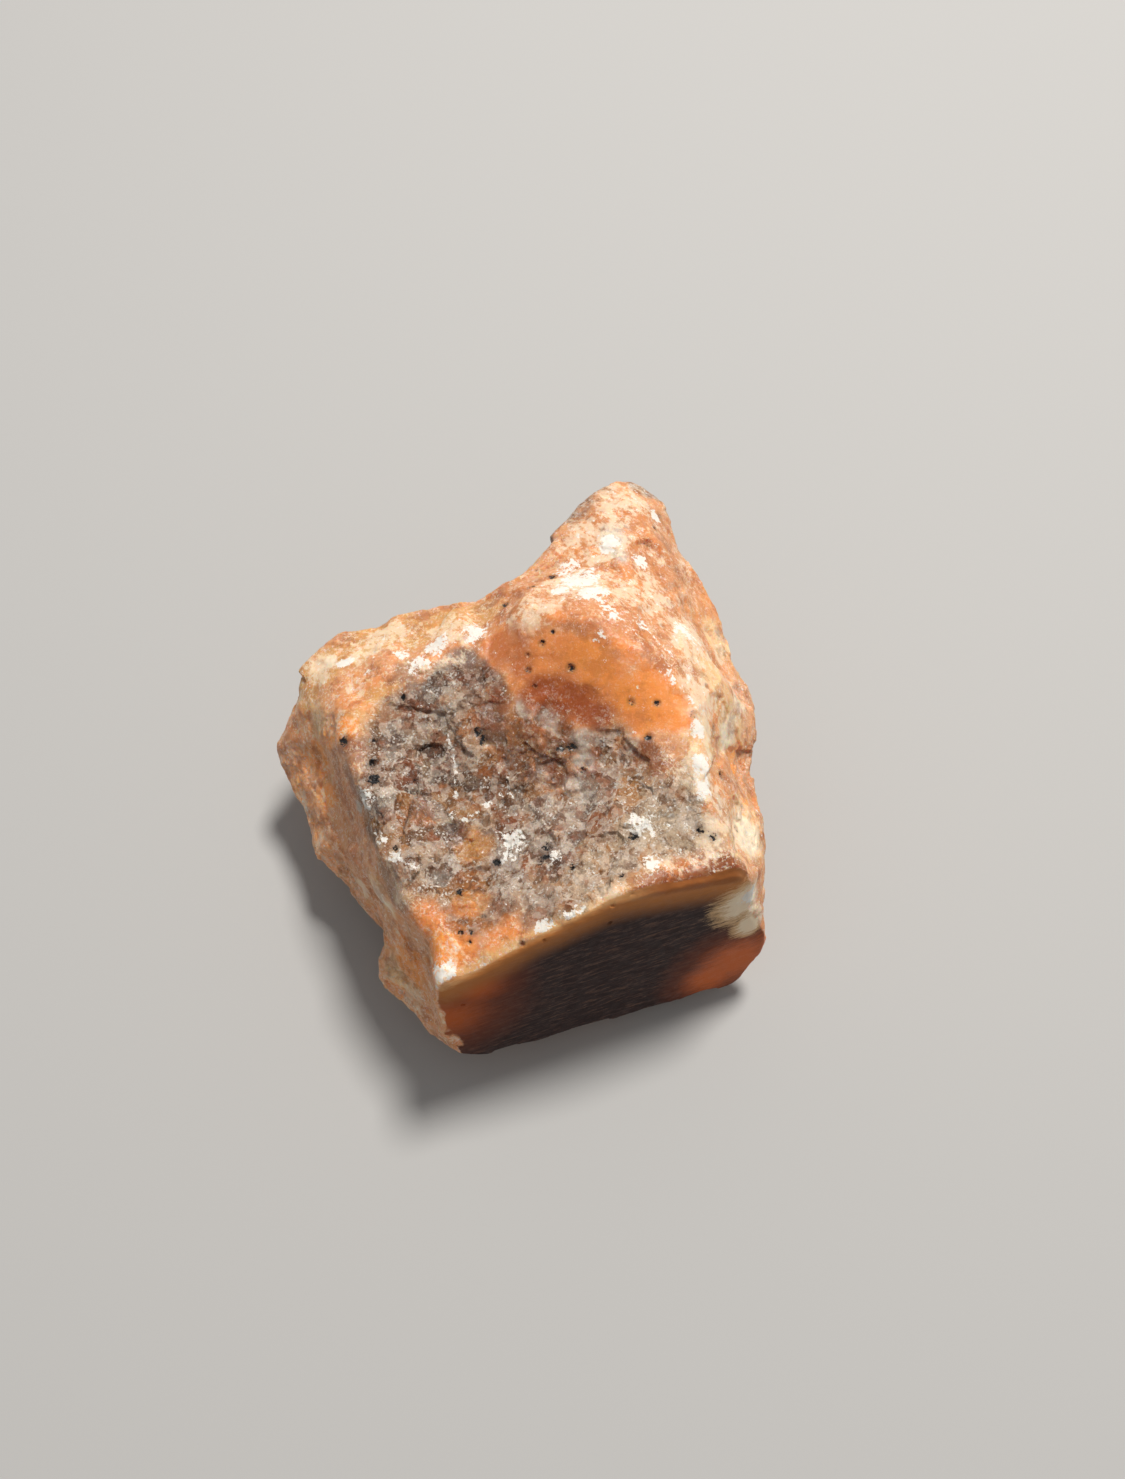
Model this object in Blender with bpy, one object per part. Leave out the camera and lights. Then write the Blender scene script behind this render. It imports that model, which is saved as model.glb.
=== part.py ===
"""A rough piece of orange calcite with one sawn face.

The stone is one solid. It lies on a small flat spot, +Z is up, and -Y is the side with the sawn face.
Seen from above, +X is to the right. The origin is on the resting surface, under the middle of the stone.

The shape is drawn the way a map is drawn. One closed outline marks where the stone is widest. Above
it, ridge and valley lines carry heights for the top, and below it other lines carry heights for the
underside. The facets between the lines are spanned by triangles. The whole is then rounded, given its
lumpy broken surface, cut flat by the saw, thinned to a modest number of faces, and cut flat underneath.
"""
import math

import bmesh
import bpy
from mathutils import Vector, noise
from mathutils.geometry import delaunay_2d_cdt

# Driving dimensions: millimetres, and degrees for the two angles of the saw cut
STONE_WIDTH = 47.5
STONE_DEPTH = 54.2
STONE_HEIGHT = 29.5
SAW_POINT = Vector((-5.5, -25.0, 19.0))
SAW_TURN = 19.0
SAW_LEAN = 14.0
REST_DEPTH = 1.6
MM = 0.001

# How the block is worked: the grid it is remeshed on, smoothing passes, faces left on the stone,
# and how close two corners on the rim of a cut may stay
WORKING_GRID = 0.6
ROUNDING_PASSES = 10
SETTLING_PASSES = 4
FACE_COUNT = 5600
RIM_WELD = 0.3
PLAN_WELD = 0.0001

# Lumps of the broken surface: size across and height in millimetres, and where the pattern starts
BROAD_LUMPS = (9.0, 0.9, Vector((0.0, 0.0, 0.0)))
SMALL_LUMPS = (3.6, 0.45, Vector((7.0, 3.0, 1.0)))
CHIPS = (5.5, 0.55, Vector((0.0, 0.0, 0.0)))
CHIP_MIDDLE = 0.4

CALCITE_ORANGE = (0.66, 0.29, 0.13, 1.0)
CALCITE_ROUGHNESS = 0.5

# The widest line, clockwise seen from above, from the tip of the horn
OUTLINE = [
    (10.2, 29.2, 21.0),
    (12.4, 29.2, 20.5),
    (15.0, 27.4, 19.5),
    (18.4, 19.5, 17.5),
    (21.0, 15.4, 15.5),
    (21.6, 12.8, 14.5),
    (23.8, 8.0, 13.0),
    (24.7, 2.8, 12.5),
    (24.0, 0.0, 12.5),
    (24.2, -4.5, 13.0),
    (23.2, -11.5, 13.5),
    (24.4, -17.0, 7.0),
    (25.6, -21.0, 2.4),
    (24.6, -23.2, 0.9),
    (17.5, -22.5, 3.0),
    (8.0, -25.3, 4.2),
    (-2.0, -28.3, 5.2),
    (-7.8, -26.2, 5.0),
    (-13.0, -20.9, 6.0),
    (-12.6, -16.5, 7.0),
    (-16.2, -12.2, 7.0),
    (-20.8, -8.6, 8.0),
    (-23.2, -2.2, 9.0),
    (-24.2, 3.0, 10.0),
    (-22.4, 5.6, 13.0),
    (-22.4, 8.0, 16.5),
    (-18.6, 12.0, 17.5),
    (-8.4, 13.6, 19.5),
    (-1.9, 14.5, 21.0),
    (-0.4, 16.2, 21.5),
    (3.0, 20.6, 21.5),
    (7.0, 26.2, 21.5),
]

# Lines of the top: ridges stand up, valleys lie low
TOP_LINES = {
    "crest": [
        (-2.0, 8.4, 24.0),
        (0.0, 8.6, 25.8),
        (3.0, 9.0, 27.9),
        (7.0, 6.8, 29.5),
        (11.7, 2.7, 28.7),
        (16.0, 0.2, 26.4),
        (16.6, -4.0, 25.3),
    ],
    "foot of the orange scoop": [
        (-4.5, 6.0, 22.6),
        (-2.5, 4.6, 23.0),
        (0.0, 2.4, 23.5),
        (3.0, 1.0, 23.8),
        (8.0, -0.8, 24.2),
        (12.4, -2.6, 24.8),
        (16.6, -4.0, 25.3),
    ],
    "inner edge of the ledge": [
        (-20.6, 4.6, 17.5),
        (-15.4, 0.8, 21.5),
        (-10.9, 3.5, 23.0),
        (-6.1, 6.9, 23.6),
        (-2.0, 8.4, 24.0),
    ],
    "foot of the ledge": [
        (-15.2, -2.3, 21.5),
        (-11.4, 0.6, 20.8),
        (-7.6, 2.8, 21.2),
        (-4.5, 6.0, 22.6),
    ],
    "left rim": [
        (-20.6, 4.6, 17.5),
        (-15.2, -2.3, 21.5),
        (-12.7, -8.1, 22.0),
        (-10.6, -13.6, 21.5),
        (-8.3, -18.9, 20.0),
        (-5.5, -25.8, 19.0),
    ],
    "saw edge": [
        (-5.5, -25.8, 19.0),
        (2.8, -21.6, 22.0),
        (8.8, -18.9, 24.2),
        (15.2, -17.3, 23.8),
        (20.6, -16.0, 21.8),
    ],
    "right rim": [
        (16.6, -4.0, 25.3),
        (17.9, -9.0, 24.5),
        (19.4, -12.5, 23.3),
        (20.6, -16.0, 21.8),
    ],
    "spine of the horn": [
        (12.4, 29.2, 20.5),
        (10.6, 14.6, 25.3),
        (11.7, 2.7, 28.7),
    ],
    "right edge of the horn": [
        (15.0, 27.4, 19.5),
        (15.2, 12.5, 22.0),
        (16.0, 0.2, 26.4),
    ],
    "flank lumps": [
        (-19.8, 0.4, 15.5),
        (-17.2, -6.3, 15.0),
        (-14.2, -12.8, 14.0),
        (-11.0, -19.0, 12.5),
    ],
}
TOP_POINTS = {
    "orange scoop": [(0.4, 5.5, 24.9), (4.8, 4.2, 25.7), (10.3, 0.6, 26.3)],
    "basin": [
        (-7.5, -3.4, 19.3),
        (0.8, -5.2, 21.3),
        (7.9, -6.5, 22.4),
        (13.5, -8.7, 23.6),
        (-3.5, -12.2, 19.8),
        (-7.9, -12.3, 20.2),
        (4.4, -13.4, 21.5),
        (11.3, -13.0, 23.2),
    ],
}

# Lines of the underside, from the wide wall behind down to the resting spot
UNDER_LINES = {
    "foot of the back wall": [
        (20.0, 13.5, 9.5),
        (17.0, 19.0, 11.0),
        (14.0, 24.8, 12.5),
        (11.2, 26.6, 13.0),
        (8.8, 23.6, 13.5),
        (5.2, 18.3, 13.0),
        (2.2, 14.6, 13.5),
        (-1.5, 12.9, 12.5),
        (-8.6, 12.0, 11.5),
        (-16.6, 10.2, 10.0),
        (-21.2, 6.0, 8.5),
    ],
    "lower belt": [
        (18.0, 11.5, 5.5),
        (14.2, 16.5, 6.5),
        (10.0, 20.5, 7.5),
        (5.0, 14.0, 7.0),
        (0.5, 10.8, 6.5),
        (-6.5, 9.8, 6.0),
        (-14.0, 7.0, 5.0),
        (-18.5, 2.0, 4.5),
        (-16.0, -6.5, 3.6),
        (-10.8, -15.5, 3.4),
        (-5.5, -21.5, 2.8),
        (7.0, -20.0, 2.2),
        (19.5, -17.5, 1.6),
        (20.4, -8.0, 4.5),
        (20.8, 4.5, 5.5),
        (18.0, 11.5, 5.5),
    ],
}
REST_OUTLINE = [
    (4.0, 10.0),
    (10.0, 8.0),
    (13.0, 0.0),
    (12.5, -9.0),
    (7.0, -14.5),
    (-1.5, -16.0),
    (-7.5, -12.5),
    (-11.5, -5.0),
    (-10.5, 2.0),
    (-4.0, 7.0),
]


def clear_scene():
    for thing in list(bpy.data.objects):
        bpy.data.objects.remove(thing, do_unlink=True)


def span_sheet(sheet, outline, lines, points):
    """Span an outline, the lines inside it and its single points with triangles."""
    places = list(outline)
    edges = [(i, (i + 1) % len(outline)) for i in range(len(outline))]
    for line in lines:
        indices = []
        for place in line:
            if place not in places:
                places.append(place)
            indices.append(places.index(place))
        edges.extend(zip(indices, indices[1:]))
    places.extend(points)
    plan = [Vector(place[:2]) for place in places]
    inside_only = 1
    _, _, faces, sources, _, _ = delaunay_2d_cdt(plan, edges, [], inside_only, PLAN_WELD)
    verts = [sheet.verts.new(places[source[0]]) for source in sources]
    for face in faces:
        sheet.faces.new([verts[i] for i in face])


def rough_block():
    """The stone before rounding: a top sheet and an under sheet, sewn along the widest line."""
    block = bmesh.new()
    single_points = [place for group in TOP_POINTS.values() for place in group]
    span_sheet(block, OUTLINE, TOP_LINES.values(), single_points)
    rest_ring = [(x, y, -REST_DEPTH) for x, y in REST_OUTLINE]
    under_lines = list(UNDER_LINES.values()) + [rest_ring + rest_ring[:1]]
    span_sheet(block, OUTLINE, under_lines, [])
    bmesh.ops.remove_doubles(block, verts=block.verts, dist=PLAN_WELD)
    bmesh.ops.recalc_face_normals(block, faces=block.faces)
    return block


def put_in_mesh(shape, mesh):
    shape.to_mesh(mesh)
    shape.free()
    mesh.update()


def mesh_shape(mesh):
    shape = bmesh.new()
    shape.from_mesh(mesh)
    shape.normal_update()
    return shape


def apply_modifier(stone, kind, **settings):
    modifier = stone.modifiers.new(kind.title(), kind)
    for name, value in settings.items():
        setattr(modifier, name, value)
    graph = bpy.context.evaluated_depsgraph_get()
    result = bpy.data.meshes.new_from_object(stone.evaluated_get(graph))
    stone.modifiers.clear()
    spent = stone.data
    stone.data = result
    bpy.data.meshes.remove(spent)


def lump_height(place):
    """How far the broken surface stands out at a place, in millimetres."""
    stands_out = 0.0
    for size, height, start in (BROAD_LUMPS, SMALL_LUMPS):
        stands_out += noise.noise(place / size + start) * height
    size, height, start = CHIPS
    distances, _ = noise.voronoi(place / size + start)
    return stands_out + (distances[0] - CHIP_MIDDLE) * height


def break_surface(mesh):
    shape = mesh_shape(mesh)
    moves = [vert.normal * lump_height(vert.co) for vert in shape.verts]
    for vert, move in zip(shape.verts, moves):
        vert.co += move
    put_in_mesh(shape, mesh)


def saw_normal():
    """Which way the sawn face looks: out of the front, a little to the right and a little up."""
    turn = math.radians(SAW_TURN)
    lean = math.radians(SAW_LEAN)
    level = Vector((math.sin(turn), -math.cos(turn), 0.0)) * math.cos(lean)
    return level + Vector((0.0, 0.0, math.sin(lean)))


def cut_flat(shape, point, outward):
    """Take off what lies beyond a plane and close the cut with one flat face."""
    everything = shape.verts[:] + shape.edges[:] + shape.faces[:]
    cut = bmesh.ops.bisect_plane(
        shape, geom=everything, dist=PLAN_WELD, plane_co=point, plane_no=outward, clear_outer=True)
    rim_edges = [item for item in cut["geom_cut"] if isinstance(item, bmesh.types.BMEdge)]
    rim_corners = [item for item in cut["geom_cut"] if isinstance(item, bmesh.types.BMVert)]
    bmesh.ops.contextual_create(shape, geom=rim_edges)
    bmesh.ops.remove_doubles(shape, verts=rim_corners, dist=RIM_WELD)
    bmesh.ops.triangulate(shape, faces=shape.faces)


def saw_front(mesh):
    shape = mesh_shape(mesh)
    cut_flat(shape, SAW_POINT, saw_normal())
    put_in_mesh(shape, mesh)


def stand_on_rest(mesh):
    """Cut the resting spot flat, bring the stone to its real size and centre it over the origin."""
    shape = mesh_shape(mesh)
    cut_flat(shape, Vector((0.0, 0.0, 0.0)), Vector((0.0, 0.0, -1.0)))
    for axis, wanted in enumerate((STONE_WIDTH, STONE_DEPTH, STONE_HEIGHT)):
        low = min(vert.co[axis] for vert in shape.verts)
        high = max(vert.co[axis] for vert in shape.verts)
        start = low if axis == 2 else (low + high) / 2
        for vert in shape.verts:
            vert.co[axis] = (vert.co[axis] - start) * wanted / (high - low) * MM
    put_in_mesh(shape, mesh)


def calcite():
    material = bpy.data.materials.new("calcite")
    material.use_nodes = True
    shader = material.node_tree.nodes["Principled BSDF"]
    shader.inputs["Base Color"].default_value = CALCITE_ORANGE
    shader.inputs["Roughness"].default_value = CALCITE_ROUGHNESS
    shader.inputs["Metallic"].default_value = 0.0
    return material


def make_stone():
    stone = bpy.data.objects.new("calcite_stone", bpy.data.meshes.new("calcite_stone"))
    bpy.context.collection.objects.link(stone)
    put_in_mesh(rough_block(), stone.data)
    apply_modifier(stone, "REMESH", mode="VOXEL", voxel_size=WORKING_GRID)
    apply_modifier(stone, "SMOOTH", factor=0.5, iterations=ROUNDING_PASSES)
    break_surface(stone.data)
    apply_modifier(stone, "SMOOTH", factor=0.5, iterations=SETTLING_PASSES)
    saw_front(stone.data)
    apply_modifier(stone, "DECIMATE", ratio=FACE_COUNT / len(stone.data.polygons))
    stand_on_rest(stone.data)
    stone.data.materials.append(calcite())
    return stone


clear_scene()
make_stone()
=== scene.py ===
"""Looks of a rough lump of orange calcite: broken crystal grains, chalky crust, black specks, a sawn face."""

from math import cos, radians, sin

import bmesh
import bpy
import numpy as np
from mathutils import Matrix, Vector, noise
from mathutils.bvhtree import BVHTree
from mathutils.kdtree import KDTree


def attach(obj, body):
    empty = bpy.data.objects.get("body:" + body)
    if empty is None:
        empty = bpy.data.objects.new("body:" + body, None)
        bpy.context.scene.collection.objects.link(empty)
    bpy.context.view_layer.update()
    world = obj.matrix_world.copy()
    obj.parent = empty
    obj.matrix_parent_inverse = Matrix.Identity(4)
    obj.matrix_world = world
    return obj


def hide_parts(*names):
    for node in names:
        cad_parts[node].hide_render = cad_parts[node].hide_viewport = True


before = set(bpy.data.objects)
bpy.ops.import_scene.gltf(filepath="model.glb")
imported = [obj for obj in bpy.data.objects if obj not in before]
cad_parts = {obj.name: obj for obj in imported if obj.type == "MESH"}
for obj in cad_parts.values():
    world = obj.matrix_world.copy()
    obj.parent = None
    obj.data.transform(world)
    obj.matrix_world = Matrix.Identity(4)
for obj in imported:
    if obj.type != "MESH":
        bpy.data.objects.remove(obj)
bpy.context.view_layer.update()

# Camera
# It looks down on the stone from the side of the sawn face, 65 degrees above the level and 12 cm away,
# through a phone's wide lens, so that the stone fills the middle of an upright picture.
MM = 0.001
PHOTO_WIDTH = 1125
PHOTO_HEIGHT = 1479
LENS_IN_PIXELS = 1280
CAMERA_HEIGHT_ANGLE = radians(65)
CAMERA_DISTANCE = 123 * MM
AIM = Vector((4.4, 1.0, 15.0)) * MM
SENSOR = 36.0
NEAREST_SEEN = 1 * MM
FARTHEST_SEEN = 20.0

looking = Vector((0, cos(CAMERA_HEIGHT_ANGLE), -sin(CAMERA_HEIGHT_ANGLE)))
picture_right = Vector((1, 0, 0))
picture_up = picture_right.cross(looking)
camera_place = AIM - looking * CAMERA_DISTANCE
camera_data = bpy.data.cameras.new("camera")
camera_data.sensor_width = SENSOR
camera_data.lens = SENSOR * LENS_IN_PIXELS / PHOTO_HEIGHT
camera_data.clip_start = NEAREST_SEEN
camera_data.clip_end = FARTHEST_SEEN
camera = bpy.data.objects.new("camera", camera_data)
camera.location = camera_place
camera.rotation_euler = looking.to_track_quat("-Z", "Y").to_euler()
bpy.context.scene.collection.objects.link(camera)
bpy.context.scene.camera = camera

# Stone
# One lump of massive orange calcite, broken out of its vein and sawn flat on the front. The body is waxy
# and lets light in; the hollow on top is a mosaic of grown-together grains, and a pale chalky crust
# and specks of a black mineral sit on the weathered outside. It is one piece, so it is one mesh.
MERGE_DISTANCE = 0.001 * MM
COARSE_GRID = 0.5 * MM
SURFACE_GRID = 0.2 * MM
MOST_TRIANGLES = 196000
SHARP_EDGE = radians(26)

stone_body = bmesh.new()
stone_body.from_mesh(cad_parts["calcite_stone"].data)
bmesh.ops.remove_doubles(stone_body, verts=stone_body.verts, dist=MERGE_DISTANCE)
stone_area = sum(face.calc_area() for face in stone_body.faces)
stone_mesh = bpy.data.meshes.new("orange_calcite")
stone_body.to_mesh(stone_mesh)
seen_surface = BVHTree.FromBMesh(stone_body)
stone_body.free()
stone = bpy.data.objects.new("orange_calcite", stone_mesh)
bpy.context.scene.collection.objects.link(stone)


def seen_at(across, down):
    """The point of the stone that shows at this pixel of the photograph."""
    away = (looking + picture_right * ((across - PHOTO_WIDTH / 2) / LENS_IN_PIXELS)
            - picture_up * ((down - PHOTO_HEIGHT / 2) / LENS_IN_PIXELS)).normalized()
    hit = seen_surface.ray_cast(camera_place, away)[0]
    if hit is None:
        hit = seen_surface.find_nearest(camera_place + away * CAMERA_DISTANCE)[0]
    return hit


def apply_modifiers(piece):
    """Keeps the shape that the piece's modifiers give it, and takes them off."""
    shaped = bpy.data.meshes.new_from_object(piece.evaluated_get(bpy.context.evaluated_depsgraph_get()))
    piece.modifiers.clear()
    worn_out = piece.data
    piece.data = shaped
    bpy.data.meshes.remove(worn_out)


def places_of(mesh):
    """Where every point of a mesh is, one row each."""
    places = np.empty(len(mesh.vertices) * 3)
    mesh.vertices.foreach_get("co", places)
    return places.reshape(-1, 3)


def facings_of(mesh):
    """Which way the surface faces at every point of a mesh."""
    facings = np.empty(len(mesh.vertices) * 3)
    mesh.vertex_normals.foreach_get("vector", facings)
    return facings.reshape(-1, 3)


def put_places(mesh, places):
    """Moves every point of a mesh to its new place."""
    mesh.vertices.foreach_set("co", places.ravel())
    mesh.update()


def evened(mesh, values, passes, swell=0.0):
    """Levels values out along the mesh's edges. A swell near 0.5 keeps a shape from shrinking."""
    ends = np.empty(len(mesh.edges) * 2, dtype=np.int64)
    mesh.edges.foreach_get("vertices", ends)
    first, second = ends.reshape(-1, 2).T
    count = len(mesh.vertices)
    neighbours = np.bincount(first, minlength=count) + np.bincount(second, minlength=count)
    strengths = (0.5, -swell) if swell else (0.5,)
    columns = []
    for column in values.reshape(count, -1).T:
        for strength in strengths * passes:
            around = np.bincount(first, column[second], count) + np.bincount(second, column[first], count)
            column = column + strength * (around / neighbours - column)
        columns.append(column)
    return np.stack(columns, axis=1).reshape(values.shape)


def ramp(values, low, high):
    """Rises smoothly from 0 at low to 1 at high."""
    share = np.clip((values - low) / (high - low), 0, 1)
    return share * share * (3 - 2 * share)


CLOUD_SHIFT = Vector((7.1, 3.7, 5.3))
CLOUD_FADING = 1.0
CLOUD_FINER_BY = 2.0
CLOUD_LAYERS = 3


def cloudy(places, size, seed):
    """Soft random patches about this wide, between about -1 and 1."""
    moved = [Vector(place) / size + CLOUD_SHIFT * seed for place in places]
    return np.array([noise.fractal(place, CLOUD_FADING, CLOUD_FINER_BY, CLOUD_LAYERS) for place in moved])


def near(places, dabs):
    """How deep each point lies in a patch of round dabs: 1 at a dab's middle, 0 on its rim, less outside."""
    depth = np.full(len(places), -np.inf)
    for across, down, radius in dabs:
        away = np.linalg.norm(places - np.array(seen_at(across, down)), axis=1)
        depth = np.maximum(depth, 1 - away / (radius * MM))
    return depth


def along(places, route):
    """How far each point is from a line drawn through these pixels."""
    stops = [np.array(seen_at(across, down)) for across, down in route]
    nearest = np.full(len(places), np.inf)
    for start, end in zip(stops, stops[1:]):
        run = end - start
        share = np.clip((places - start) @ run / (run @ run), 0, 1)
        nearest = np.minimum(nearest, np.linalg.norm(places - start - share[:, None] * run, axis=1))
    return nearest


# Regions of the stone, as dabs: pixels of the photograph across and down, and a radius in millimetres
SCOOP = [(505, 650, 2.6), (530, 665, 3.4), (560, 655, 4.0), (600, 680, 4.6), (640, 700, 3.8), (672, 712, 2.4)]
BASIN = [(455, 700, 4.0), (480, 690, 3.0), (420, 745, 6.0), (400, 800, 5.0), (470, 790, 7.0), (440, 850, 5.5),
         (530, 760, 5.5), (540, 830, 7.0), (610, 770, 4.5), (600, 850, 5.0), (480, 890, 4.5), (560, 890, 4.0),
         (660, 820, 4.5)]
FLANKS = [(300, 775, 4.0), (316, 825, 4.0), (343, 878, 4.0), (374, 930, 4.0), (402, 985, 4.0),
          (330, 735, 3.0), (738, 690, 3.6), (746, 760, 4.0), (752, 825, 4.0), (722, 640, 3.2),
          (704, 590, 3.0)]
BROW = SCOOP + [
    (500, 628, 4.0), (540, 612, 4.5), (580, 615, 5.0), (620, 635, 5.0), (655, 660, 4.5), (685, 690, 3.5),
    (570, 585, 4.0), (600, 545, 3.5), (632, 553, 3.5), (390, 690, 2.6), (425, 680, 3.0), (455, 664, 3.0),
    (652, 724, 2.6), (676, 732, 2.4),
]
HORN = [(600, 560, 5.0), (620, 530, 4.0), (560, 570, 4.0), (640, 590, 5.0), (340, 880, 3.0), (372, 916, 3.0)]

# The sawn face in front leans back a little, and both it and the resting spot stay flat when the rest wears
SAW_TURN = radians(19)
SAW_LEAN = radians(14)
COARSE_EDGE_WEAR = 0.6 * MM
FINE_EDGE_WEAR = 0.3 * MM
STILL_FLAT = 0.02 * MM
SAW_HOLD = 0.8
saw_facing = np.array((sin(SAW_TURN) * cos(SAW_LEAN), -cos(SAW_TURN) * cos(SAW_LEAN), sin(SAW_LEAN)))
saw_level = max(places_of(stone_mesh) @ saw_facing)


def hold_flats(places, worn, edge_wear):
    """Puts the sawn face and the resting spot back where they were, and leaves their edges worn."""
    on_saw = 1 - ramp(saw_level - places @ saw_facing, STILL_FLAT, edge_wear)
    on_rest = 1 - ramp(places[:, 2], STILL_FLAT, edge_wear)
    back = (places - worn) @ saw_facing
    worn = worn + (back * on_saw * SAW_HOLD)[:, None] * saw_facing
    worn[:, 2] += (places[:, 2] - worn[:, 2]) * on_rest
    return worn


def regrid(piece, spacing):
    """Rebuilds a closed piece on an even grid."""
    grid = piece.modifiers.new("grid", "REMESH")
    grid.mode = "VOXEL"
    grid.voxel_size = spacing
    apply_modifiers(piece)


regrid(stone, COARSE_GRID)
places = places_of(stone.data)

# The sawn face ends on the right at a natural facet that looks up and catches the light
NOTCH_TOP = (741, 882)
NOTCH_FOOT = (733, 934)
NOTCH_LOOKS = (0.78, -0.25, 0.6)
NOTCH_REACH = [(750, 900, 7.0)]
NOTCH_SHARE = 0.7
notch_top = np.array(seen_at(*NOTCH_TOP))
notch_foot = np.array(seen_at(*NOTCH_FOOT))
notch_edge = (notch_foot - notch_top) / np.linalg.norm(notch_foot - notch_top)
notch_facing = np.array(NOTCH_LOOKS)
notch_facing -= notch_edge * (notch_facing @ notch_edge)
notch_facing /= np.linalg.norm(notch_facing)
over_notch = np.maximum((places - notch_top) @ notch_facing, 0)
over_notch *= ramp(near(places, NOTCH_REACH), 0.0, 1.0) * NOTCH_SHARE
places = places - over_notch[:, None] * notch_facing
put_places(stone.data, places)

# The block's edges are worn round on a coarse grid, most where the stone is smooth, and then on a fine one
WEAR_PASSES = 14
WEAR_SWELL = 0.515
MORE_PASSES = [(70, BROW), (24, HORN)]
worn = evened(stone.data, places, WEAR_PASSES, swell=WEAR_SWELL)
for passes, dabs in MORE_PASSES:
    smooth_share = ramp(near(places, dabs), 0.0, 0.6)[:, None]
    worn = worn + (evened(stone.data, worn, passes) - worn) * smooth_share
put_places(stone.data, hold_flats(places, worn, COARSE_EDGE_WEAR))
regrid(stone, SURFACE_GRID)
places = places_of(stone.data)
put_places(stone.data, hold_flats(places, evened(stone.data, places, WEAR_PASSES), FINE_EDGE_WEAR))


def middles_of(places, size, seed):
    """Scatters the middles of grains about this wide over the stone."""
    return places[np.random.default_rng(seed).choice(len(places), int(stone_area / size**2), replace=False)]


def tree_of(middles):
    """The middles, sorted so that the nearest one is found fast."""
    tree = KDTree(len(middles))
    for index, middle in enumerate(middles):
        tree.insert(middle, index)
    tree.balance()
    return tree


def share_out(places, middles):
    """Which two grains' middles are nearest to each point, and how much nearer the first one is."""
    tree = tree_of(middles)
    found = [tree.find_n(place, 2) for place in places]
    grain = np.array([[nearest[1] for nearest in pair] for pair in found])
    return grain, np.array([pair[1][2] - pair[0][2] for pair in found])


def patch_depth(places, middles, radius):
    """How deep each point lies in the nearest round patch: 1 at its middle, 0 on its rim, less outside."""
    tree = tree_of(middles)
    return 1 - np.array([tree.find(place)[2] for place in places]) / radius


# The sides that the photograph doesn't show have chance patches of the same kinds
UNSEEN_SPECK_SPACING = 8 * MM
UNSEEN_PATCH_SPACING = 17 * MM
BARELY_SEEN = -0.1
places = places_of(stone.data)
facings = facings_of(stone.data)
unseen = places[facings @ np.array(looking) > BARELY_SEEN]
unseen_specks = middles_of(unseen, UNSEEN_SPECK_SPACING, seed=51)
unseen_clear = middles_of(unseen, UNSEEN_PATCH_SPACING, seed=52)
unseen_grainy = middles_of(unseen, UNSEEN_PATCH_SPACING, seed=53)

# Where grains of a black mineral sit sunk in the surface
PIT_DEPTH = 0.2 * MM
UNSEEN_PIT_RADIUS = 0.45 * MM
PITS = [
    (477, 732, 0.5), (483, 740, 0.55), (374, 779, 0.75), (345, 741, 0.6), (374, 740, 0.4), (403, 698, 0.4),
    (373, 763, 0.5), (416, 779, 0.35), (497, 772, 0.3), (503, 801, 0.35), (583, 770, 0.35), (560, 750, 0.5),
    (572, 747, 0.6), (547, 846, 0.55), (546, 856, 0.45), (540, 862, 0.35), (497, 863, 0.45), (396, 849, 0.35),
    (426, 720, 0.35), (573, 867, 0.35), (648, 738, 0.4), (634, 838, 0.5), (701, 831, 0.5), (713, 837, 0.5),
    (622, 877, 0.35), (693, 713, 0.45), (716, 730, 0.5), (722, 775, 0.45), (738, 828, 0.35), (401, 913, 0.35),
    (435, 929, 0.3), (461, 933, 0.3), (471, 932, 0.3), (470, 942, 0.25), (484, 917, 0.25), (522, 945, 0.35),
    (545, 941, 0.25), (613, 907, 0.25), (610, 923, 0.25), (633, 895, 0.3), (463, 1005, 0.25), (460, 894, 0.5),
    (653, 530, 0.4), (629, 511, 0.3), (601, 528, 0.3), (552, 577, 0.5), (530, 586, 0.4), (538, 572, 0.3),
    (505, 605, 0.4), (564, 610, 0.3), (553, 632, 0.25), (542, 643, 0.35), (527, 655, 0.25), (528, 670, 0.35),
    (571, 668, 0.45), (643, 655, 0.35), (650, 670, 0.35), (535, 686, 0.25), (631, 702, 0.4), (657, 703, 0.35),
    (694, 712, 0.4), (633, 673, 0.25), (707, 686, 0.25), (663, 625, 0.25),
]


def pit_depth(places):
    """How deep each point lies in a black speck's pit: 1 at its middle, 0 on its rim, less outside."""
    return np.maximum(near(places, PITS), patch_depth(places, unseen_specks, UNSEEN_PIT_RADIUS))


# Broken faces, from the broad facets down to the sugary grit
FACETS = [
    # size, tip, lift, on the scoop, in the basin, elsewhere
    (5.0 * MM, 0.07, 0.04 * MM, 0.1, 0.4, 0.7),
    (2.8 * MM, 0.10, 0.035 * MM, 0.0, 1.0, 0.4),
    (1.8 * MM, 0.17, 0.035 * MM, 0.0, 0.85, 0.3),
    (0.8 * MM, 0.18, 0.018 * MM, 0.03, 1.0, 0.3),
]
FLAKE_STEP = 2
MIDDLES_SEED = 11
TIPS_SEED = 21
FLATTEST_SLOPE = 0.5
BORDER_WIDTH = 0.08
HIGHEST_STEP = 0.1
FACING_PASSES = 12
FLANK_RELIEF = 0.6
SAW_MARK_DEPTH = 0.02 * MM
SAW_MARK_WIDTH = 0.4 * MM


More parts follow.
